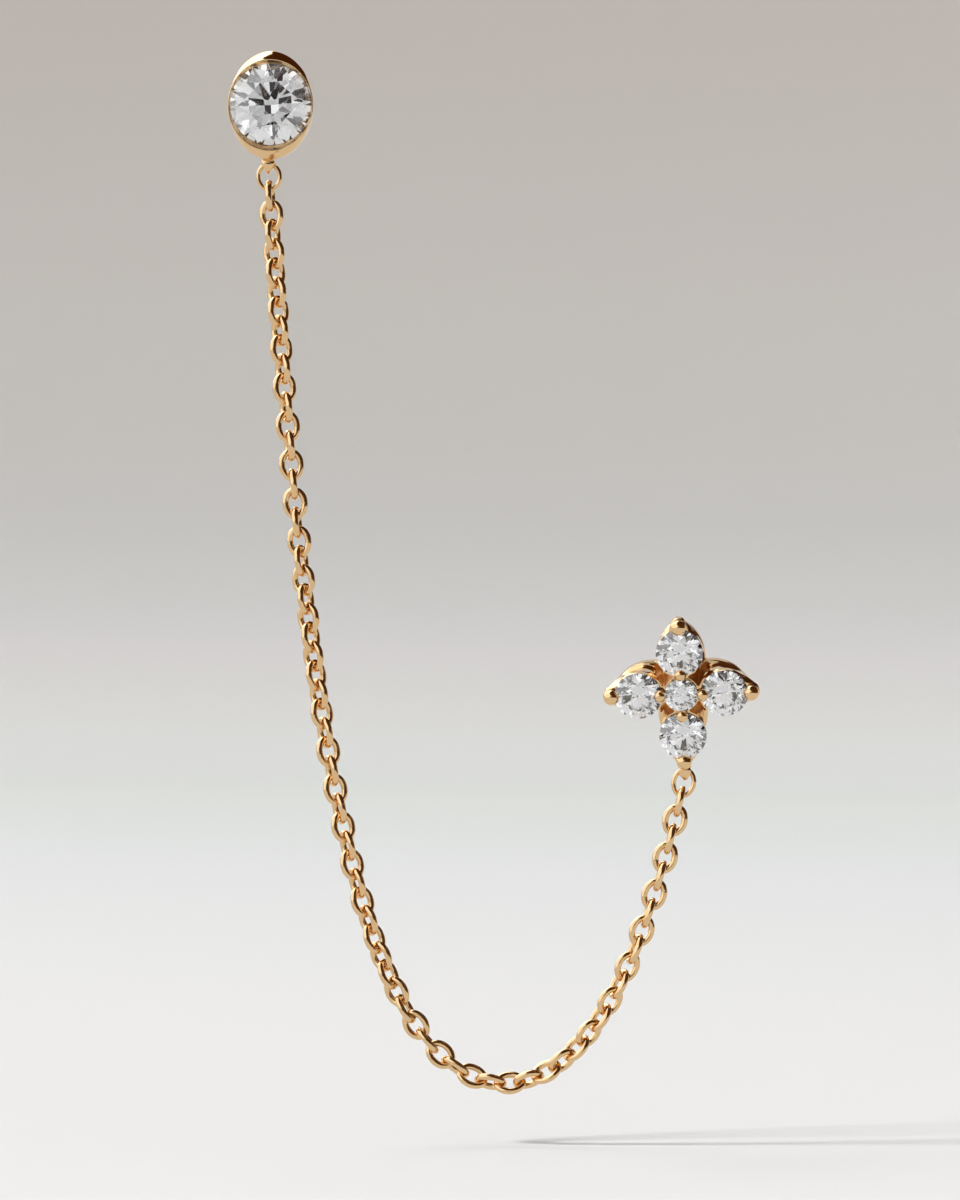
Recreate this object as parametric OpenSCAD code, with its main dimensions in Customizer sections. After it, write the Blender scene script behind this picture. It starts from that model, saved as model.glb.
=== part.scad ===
// Ear chain earring: a bezel stud and a four-petal cluster stud, joined by a hanging cable chain.
// +X is to the right, +Z is up, and both studs face -Y, with their posts running back along +Y.
// The origin is on the skin, at the middle of the bezel stud's back. All sizes are in millimetres.

/* [Bezel stud] */
// Diameter of the large round stone
bezel_stone_d = 4.06; // [3:0.02:6]
// Thinnest wall of the cup, at its two sides
bezel_wall = 0.11; // [0.08:0.01:0.4]
// Metal behind the stone's point
bezel_floor = 0.2; // [0.1:0.05:0.8]
// Height of the rim above the stone's girdle
rim_over = 0.24; // [0.12:0.02:0.4]
// How much further the cup's base reaches up and down than sideways
base_rise = 0.55; // [0.2:0.05:1]
// How pointed the base is, from 0 for an ellipse to 1 for two plain arcs
base_point = 0.75; // [0:0.05:1]

/* [Cluster stud] */
// Diameter of the four petal stones
petal_stone_d = 2.36; // [1.8:0.02:3.2]
// Diameter of the stone in the middle
centre_stone_d = 1.66; // [1.2:0.02:2.4]
// Space between the middle stone and each petal stone
stone_space = 0.14; // [0.1:0.01:0.3]
// Depth of the gallery, from the petal stones' girdles to its back
gallery_depth = 2.25; // [1.9:0.05:2.8]
// Reach of the front rail's tips past the petal stones
tip_reach = 0.6; // [0.5:0.01:0.7]
// How much further in the base plate's tips are than the front rail's
base_in = 0.5; // [0.1:0.01:0.6]
// Diameter of the beads on the four outer prongs
tip_bead_d = 0.7; // [0.5:0.02:0.9]
// Diameter of the four beads shared with the middle stone
shared_bead_d = 0.56; // [0.44:0.02:0.64]
// How much wider the base plate is than a petal stone, on each side
base_flare = 0.05; // [0.03:0.01:0.25]
// Thickness of the base plate
base_t = 0.35; // [0.2:0.01:0.6]
// Thickness of the front rail that the petal stones sit in
rail_t = 0.35; // [0.2:0.01:0.5]
// Diameter of the light hole behind each petal stone
light_hole_d = 1.1; // [0.6:0.05:1.6]
// Height of the middle stone above the petal stones
centre_raise = 0.1; // [0:0.01:0.2]
// Turn of the flower about the line of sight, clockwise
cluster_roll = -3; // [-20:1:20]
// Turn of the flower's face downwards
cluster_pitch = 16; // [0:1:25]
// Turn of the flower's face to the right
cluster_yaw = -3; // [-15:1:15]

/* [Posts] */
// Diameter of both posts
post_d = 0.8; // [0.6:0.05:1]
// Length of each post's round shank
post_l = 9.2; // [6:0.1:12]
// Length of each post's tapered end
post_tip = 0.4; // [0.2:0.05:0.8]

/* [Eyelets] */
// Diameter of the hole in each eyelet
eyelet_hole_d = 0.6; // [0.54:0.01:0.7]
// Metal around the hole
eyelet_wall = 0.24; // [0.18:0.01:0.35]
// Width of an eyelet where it is soldered on, seen from the front
eyelet_w = 0.62; // [0.4:0.02:0.8]
// Gap between an eyelet's ring and the stud's edge
eyelet_gap = 0.11; // [0.1:0.01:0.2]
// How far left of the stud's middle the upper eyelet is soldered on
upper_eyelet_left = 0.1; // [0:0.01:0.3]
// How far right of its eyelet's middle the leaning lower ring rests
lower_ring_right = 0.08; // [0:0.01:0.1]

/* [Chain] */
// Number of links between the two jump rings
chain_links = 69; // [62:1:90]
// Distance from one link's middle to the next
link_pitch = 0.966; // [0.92:0.002:1.2]
// Width of a link
link_w = 1.25; // [1.1:0.01:1.5]
// Diameter of the links' wire
wire_d = 0.22; // [0.16:0.01:0.25]
// Clear space left where two links cross
link_gap = 0.13; // [0.11:0.01:0.2]
// Width of the upper jump ring
upper_ring_w = 1.28; // [1.15:0.01:1.5]
// Diameter of the upper jump ring's wire
upper_ring_wire_d = 0.2; // [0.16:0.01:0.24]

/* [Layout] */
// Distance from the bezel stud to the flower, sideways
stud_span = 20.97; // [12:0.01:30]
// Distance from the bezel stud down to the flower
stud_drop = 29.17; // [15:0.01:40]

/* [Hidden] */
$fn = 48;

// Colours of the two materials
gold = [0.88, 0.67, 0.40];
diamond = [0.93, 0.95, 0.97, 0.6];

// Round brilliant cut, as shares of the diameter
cut_table = 0.57;
cut_crown = 0.15;
cut_girdle = 0.025;
cut_pavilion = 0.43;
// Where the star facets and the lower girdle facets end, as shares of the radius
cut_star = 0.79;
cut_lower = 0.24;
// Clear space between a stone and its metal
seat_gap = 0.03;

// Height of the seat's lip over the girdle, which keeps the large stone in
lip_over = 0.04;
// Sections of the bezel cup, back to front. Columns: depth share, rise share, point share, width share
CUP = [
    [0.00, 0.45, 1.0, 0.93],
    [0.08, 0.88, 1.0, 0.985],
    [0.22, 1.00, 1.0, 1.0],
    [0.45, 0.95, 0.9, 1.0],
    [0.70, 0.72, 0.6, 1.0],
    [0.88, 0.45, 0.2, 1.0],
    [1.00, 0.25, 0.0, 0.99]
];
cup_sides = 48;

bezel_r = bezel_stone_d / 2;
cup_w = bezel_r + seat_gap + bezel_wall;
bezel_girdle_z = bezel_floor + 2 * seat_gap + culet_depth(bezel_stone_d);
bezel_depth = bezel_girdle_z + girdle_top(bezel_stone_d) + rim_over;
lip_z = bezel_girdle_z + girdle_top(bezel_stone_d) + lip_over;

petal_r = petal_stone_d / 2;
centre_r = centre_stone_d / 2;
petal_at = centre_r + petal_r + stone_space;
tip_at = petal_at + petal_r + tip_reach;
// A bead's middle stands this share of its radius away from its stone's edge: outside it at the tips, and
// inside it, over the stone, in the middle
tip_bead_share = 0.46;
shared_bead_share = 0.36;
tip_bead_at = petal_at + petal_r + tip_bead_share * tip_bead_d / 2;
shared_bead_at = petal_at - petal_r + shared_bead_share * shared_bead_d / 2;
// A prong's shank is this share of its bead's diameter
tip_shank_share = 0.8;
shared_shank_share = 0.9;
prong_at = petal_at - petal_r - stone_space / 2;
// The front rail's top lies this far under the girdles of the petal stones
rail_under = 0.28;
// How much wider the front rail is than a petal stone, and how much narrower the wall behind it is
rail_flare = 0.05;
waist_inset = 0.03;
// Where a petal's outline is widest, as a share of its stone's distance from the middle
leaf_widest = 0.7;
// Heights of the beads' middles over the petal stones' girdles
bead_over = 0.12;
shared_bead_over = 0.2;
// The light holes end inside the seats, halfway down the stones
light_hole_under = culet_depth(petal_stone_d) / 2;
// How far a light hole's cutter starts behind the gallery
cutter_over = 1;

// Both eyelets hold their rings in one upright plane, this far in front of the skin
eyelet_r = eyelet_hole_d / 2 + eyelet_wall;
// Width of an eyelet at its lowest point
eyelet_foot_w = 0.1;
chain_front = bezel_depth / 2;
// Depth of the lower eyelet's middle, as a share of the gallery's depth
lower_eyelet_share = 0.3;
lower_eyelet_under = lower_eyelet_share * gallery_depth;
upper_hole = [-upper_eyelet_left, -(cup_w + base_rise + eyelet_gap + upper_ring_wire_d / 2), chain_front];
lower_hole = [0, -(tip_at + eyelet_gap + wire_d / 2), -lower_eyelet_under];

function turn_x(v, a) = [v[0], v[1] * cos(a) - v[2] * sin(a), v[1] * sin(a) + v[2] * cos(a)];
function turn_y(v, a) = [v[0] * cos(a) + v[2] * sin(a), v[1], v[2] * cos(a) - v[0] * sin(a)];
function turn_z(v, a) = [v[0] * cos(a) - v[1] * sin(a), v[0] * sin(a) + v[1] * cos(a), v[2]];
function stood_up(v) = turn_x(v, 90);
function cluster_turned(v) =
    turn_z(turn_x(turn_y(stood_up(v), cluster_roll), cluster_pitch), cluster_yaw);

lower_reach = cluster_turned(lower_hole);
cluster_pos = [stud_span, -chain_front - lower_reach[1], -stud_drop];
path_start = stood_up(upper_hole);
path_end = cluster_pos + lower_reach + [lower_ring_right, 0, 0];

// Half lengths of the rings' and links' centre lines
link_l = link_pitch + 2 * wire_d + link_gap;
link_half_l = (link_l - wire_d) / 2;
link_half_w = (link_w - wire_d) / 2;
upper_half_l = link_half_l - (wire_d - upper_ring_wire_d);
upper_half_w = (upper_ring_w - upper_ring_wire_d) / 2;

// The chain hangs from hole to hole in a catenary whose length is set by the links
path_l = upper_half_l + (chain_links + 1) * link_pitch + link_half_l;
path_w = path_end[0] - path_start[0];
path_rise = path_end[2] - path_start[2];

function sinh(x) = (exp(x) - exp(-x)) / 2;
function asinh(x) = ln(x + sqrt(x * x + 1));
function slack_root(ratio, low, high, turns) =
    let (mid = (low + high) / 2)
    turns == 0 ? mid :
    sinh(mid) / mid > ratio ? slack_root(ratio, low, mid, turns - 1) :
    slack_root(ratio, mid, high, turns - 1);

sag_ratio = sqrt(path_l * path_l - path_rise * path_rise) / path_w;
sag_a = path_w / (2 * slack_root(sag_ratio, 0.01, 12, 50));
low_to_mid = sag_a / 2 * ln((path_l + path_rise) / (path_l - path_rise));
start_arc = sag_a * sinh((low_to_mid - path_w / 2) / sag_a);

// Place and direction on the hanging path, at a length s from its start
function path_at(s) =
    let (u = start_arc + s)
    path_start + [
        sag_a * (asinh(u / sag_a) - asinh(start_arc / sag_a)),
        0,
        sqrt(sag_a * sag_a + u * u) - sqrt(sag_a * sag_a + start_arc * start_arc)
    ];
function path_dir(s) =
    let (u = start_arc + s)
    [sag_a, 0, u] / sqrt(sag_a * sag_a + u * u);

// The chain turns about itself as it hangs. Columns: share of the links, turn in degrees
TWIST = [
    [0.00, 0], [0.06, -40], [0.14, -60], [0.23, -85], [0.29, -115], [0.37, -135], [0.44, -160], [0.54, -150],
    [0.60, -128], [0.66, -90], [0.70, -60], [0.77, -45], [0.86, -20], [0.91, -2], [1.00, 0]
];

// Facets of a link: round the oval, and round the wire
link_sides = 12;
wire_sides = 6;

function cross_of(a, b) = [
    a[1] * b[2] - a[2] * b[1],
    a[2] * b[0] - a[0] * b[2],
    a[0] * b[1] - a[1] * b[0]
];

// Link number i of the hanging row, where 0 is the upper jump ring: middle, long axis and wide axis
function row_s(i) = upper_half_l + i * link_pitch;
function row_wide(i) =
    let (
        along = path_dir(row_s(i)),
        turn = lookup(i / (chain_links + 1), TWIST) + (i % 2) * 90
    )
    [-along[2] * cos(turn), sin(turn), along[0] * cos(turn)];

function link_points(i, half_l, half_w, wire) =
    let (
        middle = path_at(row_s(i)),
        along = path_dir(row_s(i)),
        wide = row_wide(i),
        flat = cross_of(along, wide)
    )
    [
        for (j = [0 : link_sides - 1])
            let (
                t = 360 * j / link_sides,
                at = middle + along * half_l * cos(t) + wide * half_w * sin(t),
                out = along * half_w * cos(t) + wide * half_l * sin(t),
                out_1 = out / norm(out)
            )
            for (k = [0 : wire_sides - 1])
                let (v = 360 * k / wire_sides)
                at + (out_1 * cos(v) + flat * sin(v)) * wire / 2
    ];

function link_faces(first) = [
    for (j = [0 : link_sides - 1])
        for (k = [0 : wire_sides - 1])
            let (
                j2 = (j + 1) % link_sides,
                k2 = (k + 1) % wire_sides,
                a = first + j * wire_sides + k,
                b = first + j2 * wire_sides + k,
                c = first + j2 * wire_sides + k2,
                d = first + j * wire_sides + k2
            )
            for (face = [[a, c, b], [a, d, c]])
                face
];

// Heights on a brilliant of diameter d, from its girdle plane
function girdle_top(d) = d * cut_girdle / 2;
function table_height(d) = girdle_top(d) + d * cut_crown;
function culet_depth(d) = girdle_top(d) + d * cut_pavilion;
function star_height(d) =
    table_height(d) - (cut_star * cos(22.5) - cut_table) * d * cut_crown / (1 - cut_table);
function lower_depth(d) = culet_depth(d) - d * cut_pavilion * cut_lower * cos(22.5);

// Round brilliant: girdle plane at z = 0, table towards +Z
module brilliant(d) {
    r = d / 2;
    table_r = r * cut_table;
    girdle = girdle_top(d);
    table_z = table_height(d);
    culet_z = -culet_depth(d);
    star_r = r * cut_star;
    star_z = star_height(d);
    lower_r = r * cut_lower;
    lower_z = -lower_depth(d);
    points = concat(
        [for (i = [0 : 7]) [table_r * cos(45 * i), table_r * sin(45 * i), table_z]],
        [for (i = [0 : 7]) [star_r * cos(45 * i + 22.5), star_r * sin(45 * i + 22.5), star_z]],
        [for (i = [0 : 15]) [r * cos(22.5 * i), r * sin(22.5 * i), girdle]],
        [for (i = [0 : 15]) [r * cos(22.5 * i), r * sin(22.5 * i), -girdle]],
        [for (i = [0 : 7]) [lower_r * cos(45 * i + 22.5), lower_r * sin(45 * i + 22.5), lower_z]],
        [[0, 0, culet_z]]
    );
    // First point of each ring
    star = 8;
    upper = 16;
    under = 32;
    lower = 48;
    culet = 56;
    faces = concat(
        [[for (i = [7 : -1 : 0]) i]],
        [for (i = [0 : 7]) [i, (i + 1) % 8, star + i]],
        [for (i = [0 : 7]) [i, star + i, upper + 2 * i]],
        [for (i = [0 : 7]) [i, upper + 2 * i, star + (i + 7) % 8]],
        [for (i = [0 : 7]) [star + i, upper + 2 * i + 1, upper + 2 * i]],
        [for (i = [0 : 7]) [star + i, upper + (2 * i + 2) % 16, upper + 2 * i + 1]],
        [for (i = [0 : 15]) [upper + i, upper + (i + 1) % 16, under + (i + 1) % 16]],
        [for (i = [0 : 15]) [upper + i, under + (i + 1) % 16, under + i]],
        [for (i = [0 : 7]) [under + 2 * i, under + 2 * i + 1, lower + i]],
        [for (i = [0 : 7]) [under + 2 * i + 1, under + (2 * i + 2) % 16, lower + i]],
        [for (i = [0 : 7]) [under + 2 * i, lower + i, culet]],
        [for (i = [0 : 7]) [under + 2 * i, culet, lower + (i + 7) % 8]]
    );
    polyhedron(points, faces);
}

// The space that a brilliant and its clearance take out of the metal
module seat(d) {
    r = d / 2;
    rotate_extrude()
        polygon([
            [0, -culet_depth(d) - 2 * seat_gap],
            [r * cut_lower + seat_gap, -lower_depth(d) - seat_gap],
            [r + seat_gap, -girdle_top(d) - seat_gap / 2],
            [r + seat_gap, girdle_top(d) + seat_gap / 2],
            [r * cut_star + seat_gap, star_height(d) + seat_gap],
            [r * cut_table + seat_gap, table_height(d) + seat_gap],
            [0, table_height(d) + seat_gap]
        ]);
}

// Eyelet seen edge-on from the front: hole along X, soldered on above, tapered below
module eyelet() {
    difference() {
        intersection() {
            rotate([0, 90, 0])
                cylinder(h = eyelet_w, r = eyelet_r, center = true);
            translate([0, 0, -eyelet_r])
                linear_extrude(2 * eyelet_r)
                    polygon([
                        [-eyelet_w / 2, eyelet_r], [eyelet_w / 2, eyelet_r],
                        [eyelet_foot_w / 2, -eyelet_r], [-eyelet_foot_w / 2, -eyelet_r]
                    ]);
        }
        rotate([0, 90, 0])
            cylinder(h = 2 * eyelet_w, d = eyelet_hole_d, center = true);
    }
}

// Post running back from z = 0, rooted a little way into the metal in front of it
module post(root) {
    translate([0, 0, -post_l])
        cylinder(h = post_l + root, d = post_d);
    translate([0, 0, -post_l - post_tip])
        cylinder(h = post_tip, d1 = post_d / 2, d2 = post_d);
}

// Half width of a pointed oval at height share v, blended between an ellipse and two arcs
function oval_half(w, h, point, v) =
    let (arc_r = (h * h + w * w) / (2 * w))
    (1 - point) * w * sqrt(1 - v * v) + point * (sqrt(arc_r * arc_r - h * h * v * v) - (arc_r - w));

// One section of the cup. At its top and bottom the half width is made exactly 0, so that the two sides meet
function cup_ring(row) =
    let (w = cup_w * row[3], h = cup_w + base_rise * row[1], point = base_point * row[2])
    [
        for (i = [0 : cup_sides - 1])
            let (t = 360 * i / cup_sides, half = oval_half(w, h, point, sin(t)))
            [sign(cos(t)) * (abs(cos(t)) < 0.001 ? 0 : half), h * sin(t), bezel_depth * row[0]]
    ];

// Cup of the bezel stud: pointed oval base, oval rim, and a slope down to the stone's lip
module cup_blank() {
    lip_r = bezel_r + seat_gap;
    lip = [for (i = [0 : cup_sides - 1])
        [lip_r * cos(360 * i / cup_sides), lip_r * sin(360 * i / cup_sides), lip_z]];
    rings = concat([for (row = CUP) cup_ring(row)], [lip]);
    last = len(rings) - 1;
    polyhedron(
        [for (ring = rings) for (p = ring) p],
        concat(
            [[for (i = [0 : cup_sides - 1]) i]],
            [
                for (j = [0 : last - 1])
                    for (i = [0 : cup_sides - 1])
                        let (
                            i2 = (i + 1) % cup_sides,
                            a = j * cup_sides + i,
                            b = j * cup_sides + i2,
                            c = (j + 1) * cup_sides + i2,
                            d = (j + 1) * cup_sides + i
                        )
                        for (face = [[a, c, b], [a, d, c]])
                            face
            ],
            [[for (i = [cup_sides - 1 : -1 : 0]) last * cup_sides + i]]
        )
    );
}

module bezel_setting() {
    color(gold)
        rotate([90, 0, 0])
            difference() {
                union() {
                    cup_blank();
                    translate(upper_hole)
                        eyelet();
                    post(bezel_floor / 2);
                }
                translate([0, 0, bezel_girdle_z])
                    seat(bezel_stone_d);
            }
}

module bezel_stone() {
    color(diamond)
        rotate([90, 0, 0])
            translate([0, 0, bezel_girdle_z])
                brilliant(bezel_stone_d);
}

// A petal's outline is the lens of two equal arcs, pointed at tip, half_w wide at its middle
module leaf(half_w, tip) {
    widest = leaf_widest * petal_at;
    half_l = tip - widest;
    arc_r = (half_l * half_l + half_w * half_w) / (2 * half_w);
    intersection() {
        translate([arc_r - half_w, widest])
            circle(r = arc_r);
        translate([half_w - arc_r, widest])
            circle(r = arc_r);
    }
}

module flower_layer(half_w, tip, from_z, to_z) {
    translate([0, 0, from_z])
        linear_extrude(to_z - from_z)
            for (a = [0 : 90 : 270])
                rotate(a)
                    leaf(half_w, tip);
}

module prong(at, shank_d, bead_at, bead_d, bead_z, foot_z) {
    translate([0, at, foot_z])
        cylinder(h = bead_z - foot_z, d = shank_d);
    translate([0, bead_at, bead_z])
        sphere(d = bead_d);
}

module cluster_metal() {
    back = -gallery_depth;
    rail_back = -rail_under - rail_t;
    flower_layer(petal_r + base_flare, tip_at - base_in, back, back + base_t);
    flower_layer(petal_r - waist_inset, tip_at - base_in - waist_inset,
        back + base_t / 2, rail_back + rail_t / 2);
    flower_layer(petal_r + rail_flare, tip_at, rail_back, -rail_under);
    for (a = [0 : 90 : 270])
        rotate(a) {
            prong(tip_bead_at, tip_shank_share * tip_bead_d, tip_bead_at, tip_bead_d, bead_over, rail_back);
            prong(prong_at, shared_shank_share * shared_bead_d, shared_bead_at, shared_bead_d, shared_bead_over,
                back + base_t / 2);
        }
    translate(lower_hole)
        eyelet();
    translate([0, 0, back])
        post(base_t);
}

module cluster_place() {
    translate(cluster_pos)
        rotate([0, 0, cluster_yaw])
            rotate([cluster_pitch, 0, 0])
                rotate([0, cluster_roll, 0])
                    rotate([90, 0, 0])
                        children();
}

module cluster_setting() {
    color(gold)
        cluster_place()
            difference() {
                cluster_metal();
                for (a = [0 : 90 : 270])
                    rotate(a)
                        translate([0, petal_at, 0]) {
                            seat(petal_stone_d);
                            translate([0, 0, -gallery_depth - cutter_over])
                                cylinder(h = cutter_over + gallery_depth - light_hole_under, d = light_hole_d);
                        }
                translate([0, 0, centre_raise])
                    seat(centre_stone_d);
            }
}

module petal_stone(a) {
    color(diamond)
        cluster_place()
            rotate(a)
                translate([0, petal_at, 0])
                    brilliant(petal_stone_d);
}

module centre_stone() {
    color(diamond)
        cluster_place()
            translate([0, 0, centre_raise])
                brilliant(centre_stone_d);
}

module upper_jump_ring() {
    color(gold)
        polyhedron(link_points(0, upper_half_l, upper_half_w, upper_ring_wire_d), link_faces(0));
}

module chain() {
    color(gold)
        polyhedron(
            [for (i = [1 : chain_links]) for (p = link_points(i, link_half_l, link_half_w, wire_d)) p],
            [for (i = [0 : chain_links - 1]) for (f = link_faces(i * link_sides * wire_sides)) f]
        );
}

module lower_jump_ring() {
    color(gold)
        polyhedron(link_points(chain_links + 1, link_half_l, link_half_w, wire_d), link_faces(0));
}

bezel_setting();
bezel_stone();
upper_jump_ring();
chain();
lower_jump_ring();
cluster_setting();
petal_stone(0);  // petal_stone_top
petal_stone(270);  // petal_stone_right
petal_stone(180);  // petal_stone_bottom
petal_stone(90);  // petal_stone_left
centre_stone();
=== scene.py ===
# %% [markdown]
# # A gold ear chain: bezel stud, cable chain and petal cluster
# This jewel is two studs joined by a hanging chain. The solids that carry it are packed already, in metres, with
# +X to the right, +Z up and the faces of both studs towards -Y. This lesson dresses them: it lays a finer piece over
# each solid, gives it the finish of the real material, and photographs it in a plain pale studio.
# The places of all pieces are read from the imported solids, so nothing here has to be fitted by eye.

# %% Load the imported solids
import math

import bmesh
import bpy
import numpy as np
from mathutils import Matrix, Vector


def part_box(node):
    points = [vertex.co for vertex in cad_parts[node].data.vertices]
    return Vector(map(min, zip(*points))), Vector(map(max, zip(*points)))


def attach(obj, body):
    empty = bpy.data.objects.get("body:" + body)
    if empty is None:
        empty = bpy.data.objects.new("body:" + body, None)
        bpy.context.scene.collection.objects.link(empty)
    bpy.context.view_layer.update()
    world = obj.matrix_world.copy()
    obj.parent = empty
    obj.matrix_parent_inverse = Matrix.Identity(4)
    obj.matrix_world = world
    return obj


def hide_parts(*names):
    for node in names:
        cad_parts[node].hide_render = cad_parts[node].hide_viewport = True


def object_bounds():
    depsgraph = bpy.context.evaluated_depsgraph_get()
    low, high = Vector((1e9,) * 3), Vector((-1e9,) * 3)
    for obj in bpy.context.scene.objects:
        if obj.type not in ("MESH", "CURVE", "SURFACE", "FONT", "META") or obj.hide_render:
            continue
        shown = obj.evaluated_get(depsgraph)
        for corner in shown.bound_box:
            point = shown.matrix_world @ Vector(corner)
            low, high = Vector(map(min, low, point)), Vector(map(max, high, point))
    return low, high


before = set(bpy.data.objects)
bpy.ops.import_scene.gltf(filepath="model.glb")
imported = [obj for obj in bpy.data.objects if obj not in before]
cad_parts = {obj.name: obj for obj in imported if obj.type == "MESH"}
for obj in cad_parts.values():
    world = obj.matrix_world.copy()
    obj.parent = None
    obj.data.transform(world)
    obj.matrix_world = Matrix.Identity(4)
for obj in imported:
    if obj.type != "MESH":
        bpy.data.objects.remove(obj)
cad_low, cad_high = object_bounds()
print("solids:", len(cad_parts), "size in mm:", [round(1000 * s, 2) for s in cad_high - cad_low])

# %% [markdown]
# ## Working in millimetres
# A jeweller's sizes are tenths of a millimetre, and several of Blender's modifiers don't go below a tenth of their
# own unit. So each piece is built in millimetres, where its numbers are easy to read, and is shrunk to metres only
# when it is finished. Every piece also gets its body, its material slot and the solid that it stands for here.

# %% One function that finishes a piece
MM = 0.001


def finish_piece(name, mesh, place, nodes, materials):
    """Shrinks a mesh from millimetres to metres, puts it in its place and lets it stand for its solids."""
    mesh.transform(Matrix.Scale(MM, 4))
    mesh.transform(place)
    for material in materials:
        mesh.materials.append(material)
    piece = bpy.data.objects.new(name, mesh)
    bpy.context.scene.collection.objects.link(piece)
    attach(piece, "root")
    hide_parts(*nodes)
    triangles = sum(len(p.vertices) - 2 for p in mesh.polygons)
    print(f"{name}: {triangles} triangles")
    return piece


# %% Functions that make and join meshes
def mesh_of(points, faces, smooth=True, sharp_above=None):
    """A closed mesh with its faces turned outwards."""
    mesh = bpy.data.meshes.new("part")
    mesh.from_pydata([tuple(p) for p in points], [], faces)
    shape = bmesh.new()
    shape.from_mesh(mesh)
    bmesh.ops.recalc_face_normals(shape, faces=shape.faces)
    shape.to_mesh(mesh)
    shape.free()
    mesh.polygons.foreach_set("use_smooth", [smooth] * len(mesh.polygons))
    if sharp_above is not None:
        mesh.set_sharp_from_angle(angle=math.radians(sharp_above))
    return mesh


def joined(meshes):
    """One mesh made of several, each kept closed."""
    shape = bmesh.new()
    for mesh in meshes:
        shape.from_mesh(mesh)
    out = bpy.data.meshes.new("joined")
    shape.to_mesh(out)
    shape.free()
    return out


def skin(rings, closed_row=False, capped=True):
    """Points and faces of a skin over rings with as many points each. closed_row joins the last ring to the first."""
    count = len(rings[0])
    points = [p for ring in rings for p in ring]
    faces = []
    for j in range(len(rings) if closed_row else len(rings) - 1):
        j2 = (j + 1) % len(rings)
        for i in range(count):
            i2 = (i + 1) % count
            faces.append((j * count + i, j * count + i2, j2 * count + i2, j2 * count + i))
    if capped and not closed_row:
        faces.append(tuple(range(count))[::-1])
        faces.append(tuple((len(rings) - 1) * count + i for i in range(count)))
    return points, faces


def turned(profile, sides=64):
    """A turned part: a profile of (radius, height) swept round the Z axis."""
    rings = [
        [(r * math.cos(a), r * math.sin(a), z) for a in np.linspace(0, 2 * math.pi, sides, endpoint=False)]
        for r, z in profile
    ]
    return skin(rings)


# %% [markdown]
# ## Where the studs sit
# Both studs have a face-up frame of their own: x to the right, y up and z out of the face. The bezel stud's frame
# is the world's, stood up. The flower hangs with its face turned down and a little aside, so its frame is worked out
# from its stones: the line from the left petal to the right one is x, and the line from the bottom petal to the top
# one is y. A round brilliant is symmetric about its axis, so the culet, which is its farthest point back, gives its
# centre.


# %% Read the stones' places from the solids
def points_of(node):
    """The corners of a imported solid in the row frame, in millimetres."""
    co = np.empty(3 * len(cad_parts[node].data.vertices))
    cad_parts[node].data.vertices.foreach_get("co", co)
    return co.reshape(-1, 3) / MM


def middle_of(node):
    points = np.unique(points_of(node).round(4), axis=0)
    return points.mean(axis=0)


def unit(v):
    return np.asarray(v, float) / np.linalg.norm(v)


def placed(x_axis, y_axis, z_axis, origin):
    """A Blender matrix from three axes and an origin in millimetres."""
    m = Matrix.Identity(4)
    for row in range(3):
        m[row][0], m[row][1], m[row][2], m[row][3] = x_axis[row], y_axis[row], z_axis[row], origin[row] * MM
    return m


CUT_TABLE = 0.57       # table, as a share of the diameter
CUT_CROWN = 0.15       # crown height
CUT_GIRDLE = 0.025     # girdle thickness
CUT_PAVILION = 0.43    # pavilion depth
CUT_STAR = 0.79        # where the star facets end, as a share of the radius
CUT_LOWER = 0.24       # where the lower girdle facets end


def stone_seat(node, out):
    """Diameter of a stone and the middle of its girdle plane, from its solid and the way that it faces."""
    points = points_of(node)
    along = points @ out
    height = along.max() - along.min()
    d = height / (CUT_CROWN + CUT_GIRDLE + CUT_PAVILION)
    culet = points[along.argmin()]
    return d, culet + out * d * (CUT_PAVILION + CUT_GIRDLE / 2)


RIGHT, UP, OUT = np.array([1.0, 0, 0]), np.array([0, 0, 1.0]), np.array([0, -1.0, 0])
bezel_stone_d, bezel_stone_at = stone_seat("bezel_stone", OUT)

flower_x = unit(middle_of("petal_stone_right") - middle_of("petal_stone_left"))
flower_y = unit(middle_of("petal_stone_top") - middle_of("petal_stone_bottom"))
flower_z = unit(np.cross(flower_x, flower_y))
petal_stone_d, right_petal_at = stone_seat("petal_stone_right", flower_z)
left_petal_at = stone_seat("petal_stone_left", flower_z)[1]
centre_stone_d = stone_seat("centre_stone", flower_z)[0]
flower_at = (right_petal_at + left_petal_at) / 2
petal_at = np.linalg.norm(right_petal_at - flower_at)
bezel_place = placed(RIGHT, UP, OUT, (0, 0, 0))
flower_place = placed(flower_x, flower_y, flower_z, flower_at)
print("bezel stone", round(bezel_stone_d, 2), "petal stones", round(petal_stone_d, 2), "at", round(petal_at, 2))

# %% [markdown]
# ## Colours
# Colours are written as they look on a screen, in sRGB hex, because that is how one reads them from a picture.
# Light is added and multiplied in linear values, so one function turns the first into the second.


# %% Hex colours and one function that adds a node
def linear(hex_colour):
    """An sRGB hex colour as linear red, green, blue and an alpha of 1."""
    parts = [int(hex_colour[i:i + 2], 16) / 255 for i in (1, 3, 5)]
    return tuple(c / 12.92 if c <= 0.04045 else ((c + 0.055) / 1.055) ** 2.4 for c in parts) + (1.0,)


def add_node(tree, kind, inputs=None, **settings):
    """Adds one node. A value that is a socket is linked, and any other value is set."""
    node = tree.nodes.new(kind)
    for key, value in settings.items():
        setattr(node, key, value)
    for key, value in (inputs or {}).items():
        if isinstance(value, bpy.types.NodeSocket):
            tree.links.new(value, node.inputs[key])
        else:
            node.inputs[key].default_value = value
    return node


def new_material(name):
    """An empty node material, with its tree."""
    material = bpy.data.materials.new(name)
    material.use_nodes = True
    material.node_tree.nodes.clear()
    return material, material.node_tree


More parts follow.
